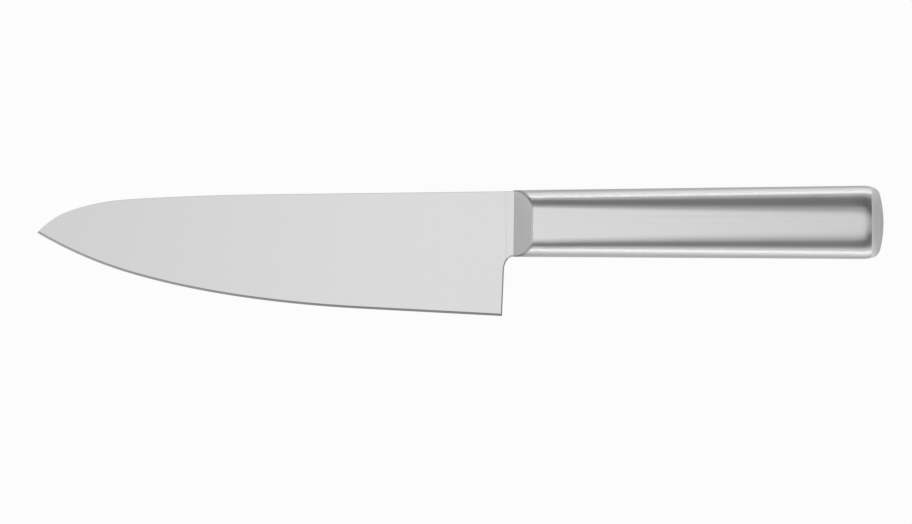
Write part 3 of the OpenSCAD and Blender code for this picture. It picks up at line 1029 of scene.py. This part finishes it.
def studio_world(stage):
    """Dim room: a wall along each side of the knife, a panel at each end, white to the camera."""
    world = bpy.data.worlds.new("Studio")
    bpy.context.scene.world = world
    tree = cleared(world)
    towards = add_node(tree, "ShaderNodeTexCoord").outputs["Generated"]
    x, y, z = add_node(tree, "ShaderNodeSeparateXYZ", {"Vector": towards}).outputs
    # direction on the floor plan, safe straight up
    run = math_node(tree, "MULTIPLY_ADD", x, x, math_node(tree, "MULTIPLY", y, y))
    run = math_node(tree, "MAXIMUM", math_node(tree, "SQRT", run), 1e-4)
    along = math_node(tree, "DIVIDE", x, run)
    across = math_node(tree, "DIVIDE", y, run)

    def below(start, end, kind="SMOOTHSTEP"):
        """1 below a height, 0 above another."""
        return range_node(tree, z, start, end, 1, 0, kind)

    # strip and low wall along each side, in the directions that face it
    lit = 0.0
    for sign, strip_top, wall_top, strip_level, wall_level in (
        (1, SPINE_STRIP_TOP, SPINE_WALL_TOP, stage.spine_strip, stage.spine_wall),
        (-1, EDGE_STRIP_TOP, EDGE_WALL_TOP, stage.edge_strip, stage.edge_wall),
    ):
        strip = math_node(tree, "MULTIPLY", below(0.0, strip_top, "LINEAR"), strip_level)
        wall = math_node(tree, "MULTIPLY_ADD", below(WALL_FADE, wall_top), wall_level, strip)
        facing = math_node(tree, "MULTIPLY", across, sign, clamp=True)
        facing = math_node(tree, "POWER", facing, WALL_POWER)
        lit = math_node(tree, "MULTIPLY_ADD", wall, facing, lit)
    # tall panel behind the tip that fades out all round the room
    tall = math_node(tree, "SUBTRACT", below(*TIP_PANEL_TOP), below(*TIP_PANEL_FOOT))
    tall = math_node(tree, "MULTIPLY", tall, stage.tip_level)
    facing = math_node(tree, "POWER", math_node(tree, "MULTIPLY_ADD", along, -0.5, 0.5), TIP_POWER)
    lit = math_node(tree, "MULTIPLY_ADD", tall, facing, lit)
    # lower panel behind the butt
    low = math_node(tree, "MULTIPLY", below(*BUTT_PANEL_TOP), stage.butt_level)
    facing = math_node(tree, "POWER", math_node(tree, "MAXIMUM", along, 0.0), BUTT_POWER)
    lit = math_node(tree, "MULTIPLY_ADD", low, facing, lit)
    path = add_node(tree, "ShaderNodeLightPath").outputs
    shown = {"Factor": path["Is Camera Ray"], "A": lit, "B": 1.0}
    shown = add_node(tree, "ShaderNodeMix", shown, data_type="FLOAT").outputs["Result"]
    light = {"Color": (1, 1, 1, 1), "Strength": shown}
    light = add_node(tree, "ShaderNodeBackground", light).outputs["Background"]
    add_node(tree, "ShaderNodeOutputWorld", {"Surface": light})


def softbox(name, place, size, radiance):
    """Rectangular area lamp that looks straight down."""
    lamp = bpy.data.lights.new(name, "AREA")
    lamp.shape = "RECTANGLE"
    lamp.size, lamp.size_y = size
    lamp.energy = radiance * math.pi * size[0] * size[1]
    holder = bpy.data.objects.new(name, lamp)
    holder.location = place
    bpy.context.scene.collection.objects.link(holder)


class KNIFE_OT_stage(bpy.types.Operator):
    """Set up the floor, the soft light and the camera straight above the knife"""

    bl_idname = "knife.stage"
    bl_label = "Stage"

    def execute(self, context):
        s = context.scene.knife_stage
        bm = bmesh.new()
        bmesh.ops.create_grid(bm, x_segments=1, y_segments=1, size=FLOOR_HALF)
        floor = new_mesh_object("floor", bm, [floor_material(s)])
        studio_world(s)
        # each lamp's middle in X, Y and share of the panel's height, its size in X and Y, its radiance
        for name, x, y, lift, size, radiance in (
            ("overhead_panel", -0.1, -0.15, 1.0, (1.3, 1.2), s.panel_level),
            ("edge_flap", 0.0, -0.975, 1.0, (1.5, 0.45), s.edge_flap),
            ("butt_flap", 1.0, -0.1, 1.0, (0.9, 1.2), s.butt_flap),
            ("spine_flap", 0.0, 0.7, 1.0, (1.5, 0.5), s.spine_flap),
            ("panel_centre", 0.01, 0.0, 0.5, (0.20, 0.32), s.centre_level),
        ):
            softbox(name, (x, y, lift * s.panel_height), size, radiance)
        lens = bpy.data.cameras.new("camera")
        lens.sensor_width = SENSOR_WIDTH
        lens.lens = lens.sensor_width * s.camera_height / s.frame_width
        lens.clip_end = CLIP_END
        camera = bpy.data.objects.new("camera", lens)
        camera.location = (s.camera_x, s.camera_y, MID_Z + s.camera_height)
        camera.rotation_euler = (0, 0, s.camera_roll)
        context.scene.collection.objects.link(camera)
        context.scene.camera = camera
        context.scene.view_settings.view_transform = "Standard"
        return {"FINISHED"}


class KNIFE_PT_panel(bpy.types.Panel):
    """Lists the knife's pieces in the 3D view's sidebar"""

    bl_idname = "KNIFE_PT_panel"
    bl_label = "Chef knife"
    bl_space_type = "VIEW_3D"
    bl_region_type = "UI"
    bl_category = "Knife"

    def draw(self, context):
        for operator in OPERATORS:
            self.layout.operator(operator.bl_idname)


OPERATORS = (
    KNIFE_OT_blade,
    KNIFE_OT_bolster,
    KNIFE_OT_shells,
    KNIFE_OT_butt_cap,
    KNIFE_OT_welds,
    KNIFE_OT_stage,
)
SETTINGS = {
    "knife_blade": BladeSettings,
    "knife_handle": HandleSettings,
    "knife_steel": SteelSettings,
    "knife_stage": StageSettings,
}
CLASSES = (*SETTINGS.values(), *OPERATORS, KNIFE_PT_panel)


def register():
    for cls in CLASSES:
        bpy.utils.register_class(cls)
    for name, cls in SETTINGS.items():
        setattr(bpy.types.Scene, name, bpy.props.PointerProperty(type=cls))


def unregister():
    for name in SETTINGS:
        delattr(bpy.types.Scene, name)
    for cls in reversed(CLASSES):
        bpy.utils.unregister_class(cls)


def main():
    register()
    bpy.ops.knife.blade()
    bpy.ops.knife.bolster()
    bpy.ops.knife.shells()
    bpy.ops.knife.butt_cap()
    bpy.ops.knife.welds()
    bpy.ops.knife.stage()


if __name__ == "__main__":
    main()
